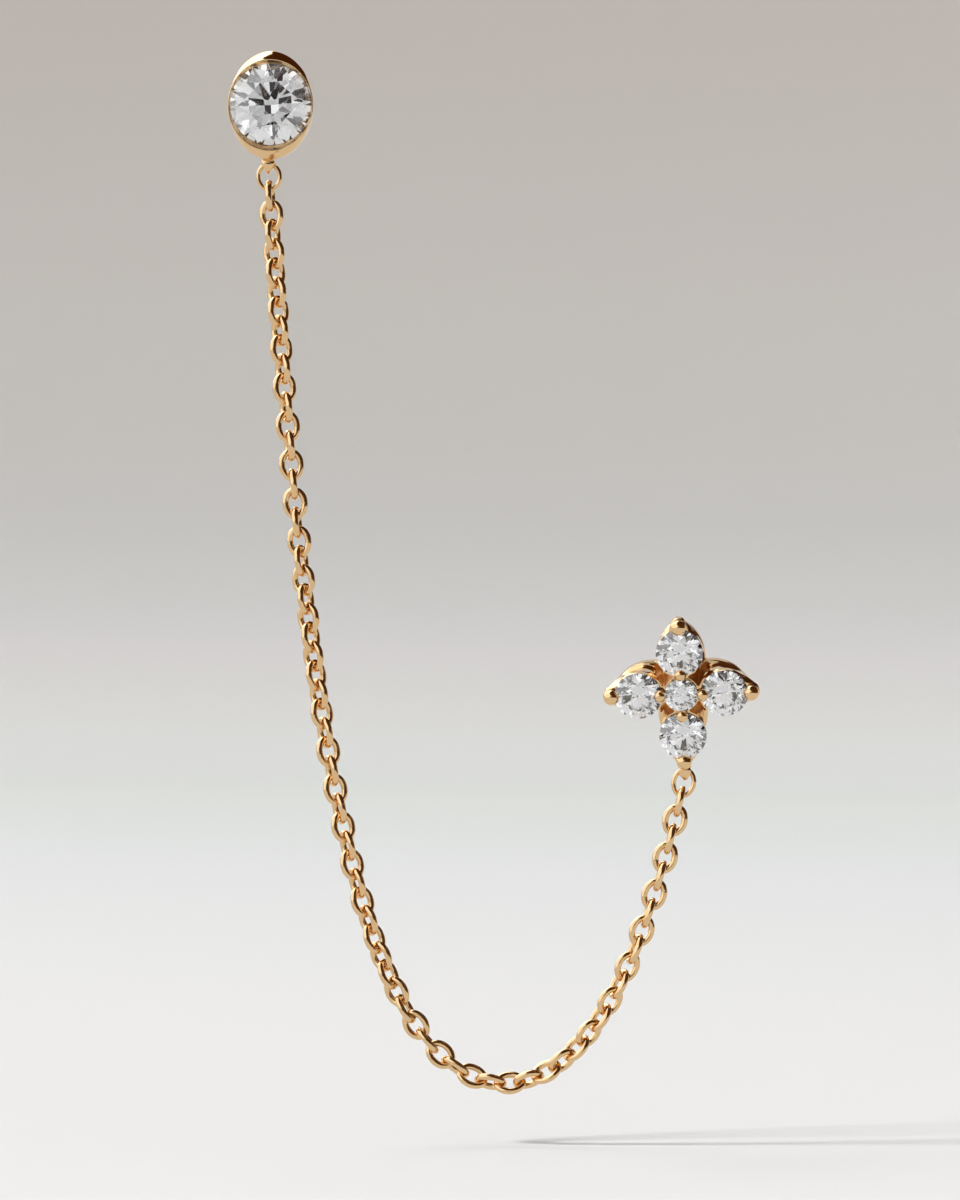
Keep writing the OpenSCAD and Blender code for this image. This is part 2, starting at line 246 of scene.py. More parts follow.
# %% [markdown]
# ## Polished 14 carat gold
# The metal is 14 carat gold alloyed with some copper, which makes it warmer than yellow gold and paler than rose. It
# is cast, then polished on a felt wheel. What the eye gets is a clean mirror with soft edges: the colour is the
# reflection's, so light parts go to cream, parts that see the floor go to tan, and parts that see other gold go to a
# deep copper brown. The wheel leaves a faint waviness, about half a millimetre long, and very fine lines, so both
# are laid on as a small bump, and the roughness varies a little with the lines.

# %% Polished gold for the cast settings
GOLD = "#F1D1A2"
GOLD_WORN = "#EBC695"
WHEEL_WAVE_MM = 0.55
WHEEL_LINE_MM = 0.06                # drawn coarser than the real lines, which are too fine for a camera
WHEEL_LINE_DEEP_MM = 0.0006
BEHIND_STONE = 0.25                 # how much of its colour gold keeps when it is seen through a stone


def gold_material(name, wave_mm, line_mm, wave_height, roughness):
    """Gold with soft waves and fine lines. The sizes are in millimetres."""
    material, tree = new_material(name)
    place = add_node(tree, "ShaderNodeTexCoord").outputs["Object"]
    wave = add_node(tree, "ShaderNodeTexNoise", {
        "Vector": place, "Scale": 1 / (wave_mm * MM), "Detail": 2.0, "Roughness": 0.45,
    })
    lines = add_node(tree, "ShaderNodeTexNoise", {
        "Vector": place, "Scale": 1 / (line_mm * MM), "Detail": 3.0, "Roughness": 0.6, "Distortion": 0.4,
    })
    colour = add_node(tree, "ShaderNodeMix", {
        "Factor": wave.outputs["Fac"], "A": linear(GOLD), "B": linear(GOLD_WORN),
    }, data_type="RGBA")
    rough = add_node(tree, "ShaderNodeMapRange", {
        "Value": lines.outputs["Fac"], "From Min": 0.3, "From Max": 0.7,
        "To Min": roughness * 0.7, "To Max": roughness * 1.3,
    })
    waved = add_node(tree, "ShaderNodeBump", {
        "Height": wave.outputs["Fac"], "Strength": 1.0, "Distance": wave_height * MM,
    })
    lined = add_node(tree, "ShaderNodeBump", {
        "Height": lines.outputs["Fac"], "Strength": 1.0, "Distance": WHEEL_LINE_DEEP_MM * MM,
        "Normal": waved.outputs["Normal"],
    })
    # Through a diamond the gold behind it looks almost grey, because the stone's own sparkle outshines its colour
    through = add_node(tree, "ShaderNodeHueSaturation", {
        "Saturation": BEHIND_STONE, "Fac": add_node(tree, "ShaderNodeLightPath").outputs["Is Transmission Ray"],
        "Color": colour.outputs["Result"],
    })
    shader = add_node(tree, "ShaderNodeBsdfPrincipled", {
        "Base Color": through.outputs["Color"], "Metallic": 1.0,
        "Roughness": rough.outputs["Result"], "Normal": lined.outputs["Normal"],
    })
    add_node(tree, "ShaderNodeOutputMaterial", {"Surface": shader.outputs["BSDF"]})
    return material


polished_gold = gold_material("polished 14k gold", WHEEL_WAVE_MM, WHEEL_LINE_MM, 0.006, 0.07)
# The wheel doesn't reach the pockets between the petals, so they keep the finer grain of the cast skin
recessed_gold = gold_material("recessed 14k gold", WHEEL_WAVE_MM, WHEEL_LINE_MM, 0.006, 0.34)

# %% [markdown]
# ## Drawn gold wire
# The chain's links and the two jump rings are cut from wire that was pulled through a drawplate and then tumbled to a
# shine with steel shot. Tumbling leaves tiny soft dents instead of wheel waves, so the reflections on a link break
# up more than on the settings. It is the same alloy and so the same colours. The dents are drawn about twice as
# large as real ones, because a camera wouldn't see those.

# %% Tumbled gold for the links and rings
SHOT_DENT_MM = 0.22
drawn_gold = gold_material("drawn 14k gold wire", SHOT_DENT_MM, WHEEL_LINE_MM, 0.010, 0.10)
print("golds:", polished_gold.name, "/", recessed_gold.name, "/", drawn_gold.name)

# %% [markdown]
# ## Diamond
# Diamond bends light more than any other clear stone: its index of refraction is 2.417. Light that enters the crown
# is turned back twice by the pavilion's facets, so the stone shows the studio in front of it in small broken pieces,
# white where it meets a light and black where it meets the dark. Nothing is painted on: the cut and the
# index make the pattern. The girdle, the thin band at the widest place, is ground matt, so it has a frosted material
# of its own.

# %% Clear diamond and its frosted girdle
DIAMOND_IOR = 2.417
CLARITY_MM = 0.8                    # size of the clouds that tint a stone by a trace
GRIT_MM = 0.03                      # grain of the ground girdle
diamond, tree = new_material("cut diamond")
clarity = add_node(tree, "ShaderNodeTexNoise", {
    "Vector": add_node(tree, "ShaderNodeTexCoord").outputs["Object"], "Scale": 1 / (CLARITY_MM * MM), "Detail": 1.0,
})
tint = add_node(tree, "ShaderNodeMix", {
    "Factor": clarity.outputs["Fac"], "A": linear("#FFFFFF"), "B": linear("#F7F9FC"),
}, data_type="RGBA")
shader = add_node(tree, "ShaderNodeBsdfPrincipled", {
    "Base Color": tint.outputs["Result"], "Roughness": 0.0, "IOR": DIAMOND_IOR, "Transmission Weight": 1.0,
})
add_node(tree, "ShaderNodeOutputMaterial", {"Surface": shader.outputs["BSDF"]})

ground_girdle, tree = new_material("ground diamond girdle")
grit = add_node(tree, "ShaderNodeTexNoise", {
    "Vector": add_node(tree, "ShaderNodeTexCoord").outputs["Object"], "Scale": 1 / (GRIT_MM * MM), "Detail": 2.0,
})
matt = add_node(tree, "ShaderNodeMapRange", {
    "Value": grit.outputs["Fac"], "To Min": 0.25, "To Max": 0.5,
})
shader = add_node(tree, "ShaderNodeBsdfPrincipled", {
    "Base Color": linear("#F2F4F6"), "Roughness": matt.outputs["Result"], "IOR": DIAMOND_IOR,
    "Transmission Weight": 1.0,
})
add_node(tree, "ShaderNodeOutputMaterial", {"Surface": shader.outputs["BSDF"]})
print("stone materials:", diamond.name, "/", ground_girdle.name, "with index", DIAMOND_IOR)

# %% [markdown]
# ## Cutting a round brilliant
# A brilliant has a flat table, 8 star facets, 8 kite facets and 16 upper girdle facets above its girdle, and 16 lower
# girdle facets and 8 mains below it. A subdivided ball can't be cut like that, so the corners are worked out from the
# cutter's own proportions. Each kite is flat because its star corners lie in the planes of both its neighbours. The
# small facets meet the round girdle in a gentle scallop, which is found by following each facet's plane out to the
# girdle's radius.

# %% A function that cuts a brilliant
STEPS = 4                                   # points of a girdle scallop in each small facet


def brilliant(d):
    """Points, faces and the girdle faces' numbers of a round brilliant, its girdle plane at z = 0 and table up."""
    r = d / 2
    table_z = d * (CUT_GIRDLE / 2 + CUT_CROWN)
    culet_z = -d * (CUT_GIRDLE / 2 + CUT_PAVILION)
    girdle = d * CUT_GIRDLE / 2

    def at(radius, eighths, z):
        a = math.radians(45 * eighths)
        return np.array([radius * math.cos(a), radius * math.sin(a), z])

    half = math.radians(22.5)
    star_z = table_z - (CUT_STAR * math.cos(half) - CUT_TABLE) / (1 - CUT_TABLE) * (table_z - girdle)
    lower_z = culet_z + CUT_LOWER * math.cos(half) * (-girdle - culet_z)
    points, faces, girdle_faces = [], [], []

    def put(p):
        points.append(tuple(p))
        return len(points) - 1

    table = [put(at(r * CUT_TABLE, k, table_z)) for k in range(8)]
    star = [put(at(r * CUT_STAR, k + 0.5, star_z)) for k in range(8)]
    lower = [put(at(r * CUT_LOWER, k + 0.5, lower_z)) for k in range(8)]
    culet = put((0, 0, culet_z))

    def scallop(tip, z):
        """Girdle points from one corner to the next, in the plane of the small facet that ends at tip."""
        rows = []
        for h in range(16):
            a, b = at(r, h / 2, z), at(r, (h + 1) / 2, z)
            top = np.array(points[tip[h // 2]])
            normal = np.cross(b - a, top - a)
            for s in range(STEPS):
                p = at(r, (h + s / STEPS) / 2, z)
                if s:
                    p[2] = a[2] - (normal[0] * (p[0] - a[0]) + normal[1] * (p[1] - a[1])) / normal[2]
                rows.append(put(p))
        return rows

    upper_edge, lower_edge = scallop(star, girdle), scallop(lower, -girdle)
    count = len(upper_edge)
    faces.append(tuple(table))
    for k in range(8):
        before, corner = (k - 1) % 8, 2 * STEPS * k
        after = corner + STEPS
        end = (corner + 2 * STEPS) % count
        faces.append((table[k], star[k], table[(k + 1) % 8]))
        faces.append((table[k], star[before], upper_edge[corner], star[k]))
        faces.append((culet, lower[before], lower_edge[corner], lower[k]))
        for edge, tip in ((upper_edge, star), (lower_edge, lower)):
            faces.append((tip[k], *edge[corner:after + 1]))
            faces.append((tip[k], *edge[after:after + STEPS], edge[end]))
    for i in range(count):
        i2 = (i + 1) % count
        girdle_faces.append(len(faces))
        faces.append((upper_edge[i], lower_edge[i], lower_edge[i2], upper_edge[i2]))
    return points, faces, girdle_faces


# %% [markdown]
# ## Setting the six stones
# Every stone is a separate piece, because each is set by hand and lies turned at an angle of its own. The packed
# solids all point a corner the same way. A turn about the stone's own axis changes only the pattern, not the size
# or the place.

# %% The large stone and the five small ones
STONES = [
    # Columns: node, way it faces, way its own x points, turn about its axis in degrees
    ("bezel_stone", OUT, RIGHT, 27),
    ("petal_stone_top", flower_z, flower_x, 8),
    ("petal_stone_right", flower_z, flower_x, 37),
    ("petal_stone_bottom", flower_z, flower_x, 9),
    ("petal_stone_left", flower_z, flower_x, 7),
    ("centre_stone", flower_z, flower_x, 12),
]
for node, out, side, turn in STONES:
    d, at = stone_seat(node, out)
    points, faces, girdle_faces = brilliant(d)
    mesh = mesh_of(points, faces, smooth=False)
    mesh.transform(Matrix.Rotation(math.radians(turn), 4, "Z"))
    piece = finish_piece("cut_" + node, mesh, placed(side, np.cross(out, side), out, at), [node],
                         [diamond, ground_girdle])
    for number in girdle_faces:
        piece.data.polygons[number].material_index = 1

# %% [markdown]
# ## The bezel stud's cup
# A bezel is a strip of gold pressed round the stone. This one is carved: round where it holds the stone, and taller
# behind it, so a smooth wall shows above and below. That wall is a mirror, and at its top the reflections of a white
# panel and a dark card meet. The cup is built as rings from its back to its rim, then over the rim, down the sloping
# inner band to the stone's edge, and under the stone to the floor of the cup. One skin over all these rings gives one
# closed piece of metal with real thickness.

# %% Sizes of the cup, and its half width at any height
cup_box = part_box("bezel_setting")
WALL_INSET = 0.025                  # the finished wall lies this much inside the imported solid's sides
CUP_W = (cup_box[1].x - cup_box[0].x) / 2 / MM - WALL_INSET
CUP_H = cup_box[1].z / MM
CUP_DEPTH = -cup_box[0].y / MM
GIRDLE_Z = -bezel_stone_at[1]
STONE_R = bezel_stone_d / 2
CUP_SIDES = 192
# Columns: depth share from the back, reach up and down as a share of the rise, pointedness, width share
CUP = [
    (0.00, 0.72, 0.25, 0.95),
    (0.02, 0.78, 0.25, 0.97),
    (0.06, 0.82, 0.25, 0.98),
    (0.40, 0.92, 0.25, 0.99),
    (0.72, 0.99, 0.25, 1.00),
    (0.765, 1.00, 0.25, 1.00),
    (0.795, 0.97, 0.24, 1.00),
    (0.86, 0.78, 0.20, 1.00),
    (0.93, 0.54, 0.12, 1.00),
    (0.985, 0.32, 0.04, 0.997),
]


def oval_half(w, h, pointed, v):
    """Half width of a pointed oval at height share v: part ellipse, part two arcs that meet in a point."""
    arc_r = (h * h + w * w) / (2 * w)
    ellipse = w * math.sqrt(max(0.0, 1 - v * v))
    arcs = math.sqrt(arc_r * arc_r - h * h * v * v) - (arc_r - w)
    return (1 - pointed) * ellipse + pointed * arcs


def cup_ring(w, h, pointed, z, drop=0.0):
    """One ring of the cup at height z, with half width w and half height h, moved down by drop."""
    ring = []
    for i in range(CUP_SIDES):
        t = 2 * math.pi * i / CUP_SIDES
        x = math.copysign(oval_half(w, h, pointed, math.sin(t)), math.cos(t))
        ring.append((x, h * math.sin(t) - drop, z))
    return ring


def smooth_row(table, x):
    """A row of the table at x, on a cubic curve through its rows."""
    xs = [row[0] for row in table]
    j = min(max(sum(1 for v in xs if v <= x) - 1, 0), len(xs) - 2)

    def slope(k, c):
        a, b = max(k - 1, 0), min(k + 1, len(xs) - 1)
        return (table[b][c] - table[a][c]) / (xs[b] - xs[a])

    step = xs[j + 1] - xs[j]
    s = (x - xs[j]) / step
    h00, h10, h01, h11 = 2 * s**3 - 3 * s**2 + 1, s**3 - 2 * s**2 + s, 3 * s**2 - 2 * s**3, s**3 - s**2
    return [
        h00 * table[j][c] + h10 * step * slope(j, c) + h01 * table[j + 1][c] + h11 * step * slope(j + 1, c)
        for c in range(1, len(table[0]))
    ]


# %% The cup's skin, from the middle of its back to the floor under the stone
RISE = CUP_H - CUP_W
RIM_RISE = 0.17                    # how much further the rim reaches up and down than sideways
RIM_DROP = 0.05                    # the rim sits this much lower than the stone's middle
LIP_Z = GIRDLE_Z + bezel_stone_d * CUT_GIRDLE / 2 + 0.02
SEAT_CLEAR = 0.012
BAND_HOLLOW = 0.03                 # how far the inner band sags between the rim and the stone
BACK_DISC_R = 0.4
CUP_FLOOR_Z = 0.16

outer = []
for share in [*np.linspace(0, 0.72, 20), *np.linspace(0.73, 0.985, 40)]:
    reach, pointed, width = smooth_row(CUP, share)
    drop = RIM_DROP * max(0.0, (share - 0.6) / 0.385)
    outer.append(cup_ring(CUP_W * width, CUP_W + RISE * reach, pointed, CUP_DEPTH * share, drop))
rim = [
    cup_ring(CUP_W * 0.995, CUP_W + RIM_RISE * 0.96, 0.0, CUP_DEPTH * 0.994, RIM_DROP),
    cup_ring(CUP_W * 0.988, CUP_W + RIM_RISE * 0.90, 0.0, CUP_DEPTH * 0.999, RIM_DROP),
    cup_ring(CUP_W * 0.980, CUP_W + RIM_RISE * 0.80, 0.0, CUP_DEPTH, RIM_DROP),
    cup_ring(CUP_W * 0.972, CUP_W + RIM_RISE * 0.68, 0.0, CUP_DEPTH * 0.998, RIM_DROP),
]
inner_r = STONE_R + SEAT_CLEAR
band = []
for s in np.linspace(0.15, 1, 7):
    hollow = BAND_HOLLOW * math.sin(math.pi * s)
    w = CUP_W * 0.972 * (1 - s) + inner_r * s
    h = (CUP_W + RIM_RISE * 0.68) * (1 - s) + inner_r * s
    band.append(cup_ring(w, h, 0.0, CUP_DEPTH * (1 - s) + LIP_Z * s - hollow, RIM_DROP * (1 - s)))
under = [
    (inner_r, LIP_Z - 0.01), (inner_r, GIRDLE_Z - bezel_stone_d * CUT_GIRDLE / 2 - 0.01),
    (inner_r * 0.5, GIRDLE_Z - bezel_stone_d * (CUT_PAVILION * 0.5 + CUT_GIRDLE / 2) - 0.03), (0.05, CUP_FLOOR_Z),
]
rings = [cup_ring(BACK_DISC_R, BACK_DISC_R, 0.0, 0.0)] + outer + rim + band
rings += [cup_ring(r, r, 0.0, z) for r, z in under]
cup_mesh = mesh_of(*skin(rings), sharp_above=50)
print("cup:", round(2 * CUP_W, 2), "x", round(2 * CUP_H, 2), "x", round(CUP_DEPTH, 2), "mm, rings", len(rings))

# %% [markdown]
# ## Posts and eyelets
# Each stud has a post for the ear, with a rounded tip and a small groove near its end that a push back snaps into.
# It is soldered on, and the solder leaves a small fillet at its foot. The eyelet that carries the chain is a little
# ring seen edge-on: broad where it is soldered to the cup, and filed to a point below, so it looks like a small
# tongue from the front. A ring whose section gets narrower towards the bottom gives both looks.

# %% Functions for a post and an eyelet
POST_R = 0.4
POST_L = 9.2
POST_TIP = 0.4
FILLET = 0.15                       # solder fillet at the post's foot
GROOVE_BACK = 1.4                   # the post's groove, from where its tip begins
EYELET_HOLE_R = 0.3
EYELET_WALL = 0.24
# Columns: height on the ring from its foot (-1) to its top (1), width
EYELET_W = [(-1.0, 0.12), (-0.7, 0.30), (-0.2, 0.56), (0.3, 0.64), (0.6, 0.50), (1.0, 0.30)]


def post_mesh():
    """A post that runs back from z = 0: fillet, shank, groove and rounded tip."""
    end = -POST_L - POST_TIP
    profile = [(0.02, 0.06), (POST_R + FILLET + 0.01, 0.06), (POST_R + FILLET, -0.01)]
    profile += [(POST_R + FILLET * (1 - math.sin(a)), -0.01 - FILLET * (1 - math.cos(a)))
                for a in np.linspace(0.1, math.pi / 2, 6)]
    groove = -POST_L + GROOVE_BACK
    profile += [(POST_R, groove + 0.28), (POST_R - 0.05, groove + 0.2), (POST_R - 0.05, groove + 0.05),
                (POST_R, groove - 0.03), (POST_R, -POST_L)]
    profile += [(POST_R * math.cos(a), -POST_L - POST_TIP * math.sin(a)) for a in np.linspace(0.2, 1.45, 7)]
    profile += [(0.02, end)]
    return mesh_of(*turned(profile), sharp_above=60)


def eyelet_mesh(middle):
    """An eyelet with its hole along x, in a stud's face-up frame."""
    around, section = 48, 20
    squareness = 0.7                # below 1, the ring's section is squarer than an ellipse
    mean_r = EYELET_HOLE_R + EYELET_WALL / 2
    rings = []
    for a in np.linspace(0, 2 * math.pi, around, endpoint=False):
        up = math.sin(a)
        half_w = smooth_row(EYELET_W, up)[0] / 2
        ring = []
        for b in np.linspace(0, 2 * math.pi, section, endpoint=False):
            c, s = math.cos(b), math.sin(b)
            x = half_w * math.copysign(abs(s) ** squareness, s)
            r = mean_r + EYELET_WALL / 2 * math.copysign(abs(c) ** squareness, c)
            ring.append((middle[0] + x, middle[1] + r * up, middle[2] + r * math.cos(a)))
        rings.append(ring)
    return mesh_of(*skin(rings, closed_row=True))


# %% The bezel stud's setting, with its eyelet and post soldered on
UPPER_EYELET_DROP = 0.21            # from the cup's lowest point to the eyelet's middle
UPPER_EYELET = (-0.1, -(CUP_H + UPPER_EYELET_DROP), CUP_DEPTH / 2)
bezel_metal = joined([cup_mesh, post_mesh(), eyelet_mesh(UPPER_EYELET)])
finish_piece("bezel_cup", bezel_metal, bezel_place, ["bezel_setting"], [polished_gold])

# %% [markdown]
# ## The chain
# A cable chain is made of oval wire links, each turned a quarter against the next, and it turns about itself as it
# hangs, so some links are seen flat and others edge-on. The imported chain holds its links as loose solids, with a
# little too much space between them. Here each is found again by walking from corner to corner, and its long, wide
# and thin directions come from how its corners are spread. A finer link with the real wire's thickness is laid in the
# same place. The ends of the links almost touch, as they do when they carry weight.

# %% A function that finds the loose solids of a node
# Length, width and wire of a link and of the two rings
LINK = (1.65, 1.29, 0.335)
UPPER_RING = (1.50, 1.30, 0.22)
LOWER_RING = (1.54, 1.25, 0.24)


def loose_parts(node):
    """The corners of each loose solid of a node, in millimetres and always in the same order."""
    shape = bmesh.new()
    shape.from_mesh(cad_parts[node].data)
    bmesh.ops.remove_doubles(shape, verts=shape.verts, dist=1e-7)
    shape.verts.index_update()
    seen, parts = set(), []
    for first in shape.verts:
        if first.index in seen:
            continue
        seen.add(first.index)
        todo, part = [first], []
        while todo:
            corner = todo.pop()
            part.append(tuple(corner.co / MM))
            for edge in corner.link_edges:
                other = edge.other_vert(corner)
                if other.index not in seen:
                    seen.add(other.index)
                    todo.append(other)
        parts.append(np.array(part))
    shape.free()
    return parts


def link_frame(part):
    """Middle, long, wide and thin directions of a link, from the spread of its corners."""
    middle = part.mean(axis=0)
    spread = np.linalg.eigh(np.cov((part - middle).T))[1]
    return middle, spread[:, 2], spread[:, 1], spread[:, 0]


def link_mesh(part, long, wide, wire, around=48, section=14):
    """An oval link of round wire, laid where the loose solid lies."""
    middle, x_axis, y_axis, z_axis = link_frame(part)
    a_long, a_wide = (long - wire) / 2, (wide - wire) / 2
    rings = []
    for t in np.linspace(0, 2 * math.pi, around, endpoint=False):
        at = middle + x_axis * a_long * math.cos(t) + y_axis * a_wide * math.sin(t)
        out = unit(x_axis * a_wide * math.cos(t) + y_axis * a_long * math.sin(t))
        rings.append([at + (out * math.cos(v) + z_axis * math.sin(v)) * wire / 2
                      for v in np.linspace(0, 2 * math.pi, section, endpoint=False)])
    return mesh_of(*skin(rings, closed_row=True))


# %% Every link, and the two rings at the ends
links = loose_parts("chain")
chain_mesh = joined([link_mesh(part, *LINK) for part in links])
finish_piece("cable_chain", chain_mesh, Matrix.Identity(4), ["chain"], [drawn_gold])
for name, node, size in (
    ("upper_ring", "upper_jump_ring", UPPER_RING),
    ("lower_ring", "lower_jump_ring", LOWER_RING),
):
    ring_mesh = link_mesh(loose_parts(node)[0], *size, around=64, section=18)
    finish_piece(name, ring_mesh, Matrix.Identity(4), [node], [drawn_gold])
print("links:", len(links))

# %% [markdown]
# ## The flower's gallery
# Behind the petal stones is a gallery: a front rail that holds the stones and a back rail against the ear, both cut
# to the outline of four leaves, with a deep groove between them. In that groove gold sees only gold, so it looks
# deep copper. Four pockets lie between the stones, and the polishing wheel doesn't reach into them, so they look dull
# and brown. The outline is worked out as a distance from the middle for each direction: a leaf is the overlap of two
# circles, so that distance has a plain formula. The rails are rings of that outline at different heights with rounded
# edges, and the seats, the light holes behind the petals and the pockets are cut out of them.

# %% Outlines, as a reach from the middle for each direction
OUTLINE_SIDES = 360
BACK_WIDEST, FRONT_WIDEST = 0.70, 0.85     # where a leaf is widest, as a share of its stone's distance
PETAL_R = petal_stone_d / 2
CENTRE_R = centre_stone_d / 2
TIP_R = 0.44                        # radius of the rounded tips
RAIL_TIP = petal_at + PETAL_R + 0.60
# Angle of each direction from the axis of the nearest petal
turns = np.radians([abs((i * 360 / OUTLINE_SIDES + 45) % 90 - 45) for i in range(OUTLINE_SIDES)])


def softened(reach):
    """The outline with its corners rounded off."""
    for _ in range(6):
        reach = (np.roll(reach, 1) + 2 * reach + np.roll(reach, -1)) / 4
    return reach


def disc_reach(middle, radius):
    """How far a disc on the petal's axis reaches in each direction, or 0 where it isn't met."""
    inside = radius**2 - (middle * np.sin(turns)) ** 2
    return np.where(inside > 0, middle * np.cos(turns) + np.sqrt(np.maximum(inside, 0)), 0)


def leaf_reach(half_w, tip, widest_share):
    """Four leaves, each the overlap of two circles, with rounded tips."""
    widest = widest_share * petal_at
    arc_r = ((tip - widest) ** 2 + half_w**2) / (2 * half_w)
    b = (arc_r - half_w) * np.sin(turns) - widest * np.cos(turns)
    q = (arc_r - half_w) ** 2 + widest**2 - arc_r**2
    return softened(np.maximum(-b + np.sqrt(b * b - q), disc_reach(tip - TIP_R, TIP_R)))


def collar_reach(stone_r, middle_r):
    """Round collars under the petal stones and the middle one, and the tips' rounds."""
    petals = np.maximum(disc_reach(petal_at, stone_r), disc_reach(RAIL_TIP - TIP_R, TIP_R))
    return softened(np.maximum(petals, middle_r))


def ramp(x, low, high):
    s = np.clip((x - low) / (high - low), 0, 1)
    return s * s * (3 - 2 * s)


def ring_at(reach, z):
    angles = np.radians(np.arange(OUTLINE_SIDES) * 360 / OUTLINE_SIDES)
    return [(r * math.cos(a), r * math.sin(a), z) for r, a in zip(reach, angles)]


# %% The gallery's rails and the groove between them
BACK = -2.25                        # back of the gallery, from the girdles' plane
BACK_RAIL_T = 0.45
COLLAR = (-0.52, -0.10)             # bottom and top of the collars
LEAF_W = PETAL_R + 0.05
BACK_TIP = RAIL_TIP - 0.50
GROOVE_DEEP, GROOVE_DEEPER = 0.22, 0.35
# The groove runs out towards the tips and is deepest between the petals
off_axis = np.degrees(turns)
groove = GROOVE_DEEP * ramp(off_axis, 9, 24) + GROOVE_DEEPER * ramp(off_axis, 28, 42)
front_leaf = leaf_reach(LEAF_W - 0.06, RAIL_TIP - 0.06, FRONT_WIDEST)
back_leaf = leaf_reach(LEAF_W, BACK_TIP - 0.06, BACK_WIDEST)
collar = collar_reach(PETAL_R - 0.005, CENTRE_R + 0.12)
ROUND = 0.07                        # rounding of the rails' edges
GROOVE_LOW, GROOVE_HIGH = BACK + BACK_RAIL_T, COLLAR[0]


def gallery_reach(z):
    """The gallery's outline at height z."""
    leaf = back_leaf + (front_leaf - back_leaf) * ramp(z, GROOVE_LOW - 0.1, COLLAR[0])
    cut_in = ramp(z, GROOVE_LOW, GROOVE_LOW + 0.12) * (1 - ramp(z, GROOVE_HIGH - 0.14, GROOVE_HIGH))
    under = leaf - groove * cut_in
    upper = np.maximum(collar, front_leaf - 3 * groove)
    reach = under + (upper - under) * ramp(z, GROOVE_HIGH - 0.10, GROOVE_HIGH)
    reach = reach + (collar - reach) * ramp(z, GROOVE_HIGH + 0.05, COLLAR[1] - ROUND)
    edge = min(z - BACK, COLLAR[1] - z) / ROUND
    return reach - (ROUND * (1 - math.sqrt(1 - (1 - edge) ** 2)) if edge < 1 else 0)


# Heights of the rings, closest together where the outline changes fastest
heights = [BACK + ROUND * (1 - math.cos(a)) for a in np.linspace(0.15, math.pi / 2, 5)]
for low, high, count in (
    (GROOVE_LOW - 0.1, GROOVE_LOW, 3), (GROOVE_LOW + 0.02, GROOVE_LOW + 0.12, 6),
    (GROOVE_LOW + 0.3, GROOVE_HIGH - 0.3, 4), (GROOVE_HIGH - 0.14, GROOVE_HIGH, 8),
    (GROOVE_HIGH + 0.06, COLLAR[1] - ROUND, 6),
):
    heights += list(np.linspace(low, high, count))
heights = sorted(heights + [COLLAR[1] - ROUND * (1 - math.cos(a)) for a in np.linspace(0.15, 1.35, 4)])
gallery = mesh_of(*skin([ring_at(gallery_reach(z), z) for z in heights]), smooth=False)


# %% Tools for the seats, the light holes and the pockets
LIGHT_HOLE_R = 0.55
CENTRE_RAISE = 0.1                  # the middle stone sits this much higher than the petals


def drill(profile, x, y, sides):
    """A turned cutting tool that stands at x, y."""
    points, faces = turned(profile, sides)
    return mesh_of([(px + x, py + y, pz) for px, py, pz in points], faces, smooth=False)


def seat_cutter(d, x, y, z):
    """A cone that leaves a stone of diameter d room all round, and is open above its girdle."""
    r = d / 2 + 0.02
    return drill([(0.02, z - d * (CUT_PAVILION + CUT_GIRDLE / 2) - 0.06), (r, z - 0.02), (r, z + 1)], x, y, 72)


POCKET_AT = 1.42                    # middle of a pocket, from the flower's middle
POCKET_WALLS = (0.10, 0.08, 0.10)   # gold left beside a petal's seat, beside the middle's and at the outline
# Columns: height, share of the pocket's full width
POCKET = [
    (1.0, 1.0), (-0.30, 1.0), (-0.80, 0.98), (-1.30, 0.95), (-1.65, 0.90), (-1.85, 0.80), (-1.97, 0.62),
    (-2.04, 0.36), (-2.06, 0.03),
]


def pocket_cutter(turn, around=64):
    """A bowl between two petals: as wide as the seats and the outline allow, and softer towards its floor."""
    beside_petal, beside_middle, beside_outline = POCKET_WALLS
    run = np.arange(0, 1.3, 0.004)
    full = []
    for a in np.linspace(0, 2 * math.pi, around, endpoint=False):
        x, y = POCKET_AT + run * math.cos(a), run * math.sin(a)
        free = np.hypot(x, y) > CENTRE_R + beside_middle
        for side in (-1, 1):
            px, py = petal_at * math.cos(math.radians(45)), side * petal_at * math.sin(math.radians(45))
            free &= np.hypot(x - px, y - py) > PETAL_R + beside_petal
        direction = np.degrees(np.arctan2(y, x)) + 45
        free &= np.hypot(x, y) < np.interp(direction, np.arange(OUTLINE_SIDES), back_leaf) - beside_outline
        full.append(run[np.argmin(free)] if not free.all() else run[-1])
    full = np.array(full)
    for _ in range(2):
        full = (np.roll(full, 1) + 2 * full + np.roll(full, -1)) / 4
    rings = []
    for z, share in POCKET:
        ring = []
        for i, reach in enumerate(full):
            a = 2 * math.pi * i / around
            x, y = POCKET_AT + share * reach * math.cos(a), share * reach * math.sin(a)
            ring.append((x * math.cos(turn) - y * math.sin(turn), x * math.sin(turn) + y * math.cos(turn), z))
        rings.append(ring)
    return mesh_of(*skin(rings), smooth=False)


cutters = [seat_cutter(centre_stone_d, 0, 0, CENTRE_RAISE)]
for k in range(4):
    axis = math.radians(90 * k)
    x, y = petal_at * math.cos(axis), petal_at * math.sin(axis)
    cutters.append(seat_cutter(petal_stone_d, x, y, 0))
    cutters.append(drill([(LIGHT_HOLE_R, BACK - 1), (LIGHT_HOLE_R, -0.6)], x, y, 48))
    cutters.append(pocket_cutter(axis + math.radians(45)))
    cutters[-1].polygons.foreach_set("material_index", [1] * len(cutters[-1].polygons))

# %% Cut the gallery
GALLERY_GOLDS = (polished_gold, recessed_gold)


